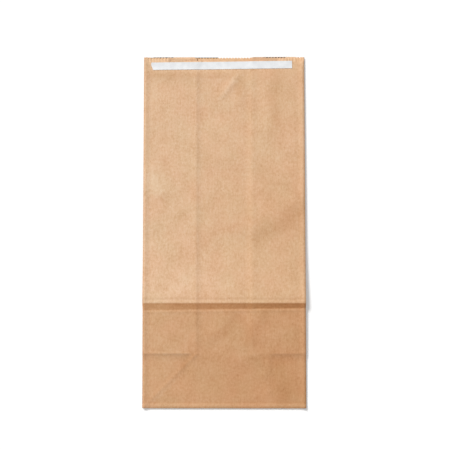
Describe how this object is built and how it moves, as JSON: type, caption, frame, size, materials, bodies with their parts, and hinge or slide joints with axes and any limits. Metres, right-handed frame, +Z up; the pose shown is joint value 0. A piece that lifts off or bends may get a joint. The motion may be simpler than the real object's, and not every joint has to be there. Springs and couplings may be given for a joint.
{
  "type": "block bottom paper bag",
  "caption": "Flat-folded gusseted kraft paper bag with a block bottom, a pinked mouth with a thumb notch, and a peel-off closing strip.",
  "frame": {"origin": "middle of the folded bag's outline, on the surface that it lies on", "axes": "+X to the right across the face, +Y from the bottom fold to the mouth, +Z up out of the plain face"},
  "size_m": [0.1602, 0.3471, 0.0076],
  "materials": {
    "kraft_paper": "brown kraft paper, matt, with fine fibres and faint mottling",
    "adhesive": "translucent pale acrylic adhesive band",
    "liner_paper": "white silicone-coated release paper, slightly smooth"
  },
  "bodies": {
    "root": {"paper_bag": "kraft_paper", "adhesive_strip": "adhesive", "release_liner": "liner_paper"}
  },
  "joints": []
}
